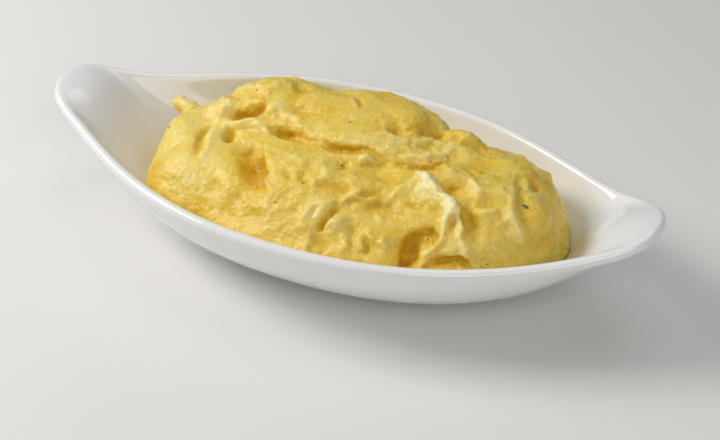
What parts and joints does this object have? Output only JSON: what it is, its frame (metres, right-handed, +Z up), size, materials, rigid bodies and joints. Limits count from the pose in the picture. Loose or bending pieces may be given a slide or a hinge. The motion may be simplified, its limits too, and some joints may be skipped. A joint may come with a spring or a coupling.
{
  "type": "mashed potato side",
  "caption": "Spooned mound of mashed potato served in a white porcelain boat-shaped dish with an ear at each end.",
  "frame": {"origin": "middle of the dish, on the surface that its foot stands on", "axes": "+X along the dish towards the ear on the viewer's right, +Y away from the viewer, +Z up"},
  "size_m": [0.2402, 0.1156, 0.0582],
  "materials": {
    "porcelain": "white porcelain with a clear gloss glaze",
    "mash": "moist pale yellow mashed potato with a fine grain, soft sheen and small wet glints"
  },
  "bodies": {
    "root": {"dish": "porcelain", "mashed_potato": "mash"}
  },
  "joints": []
}
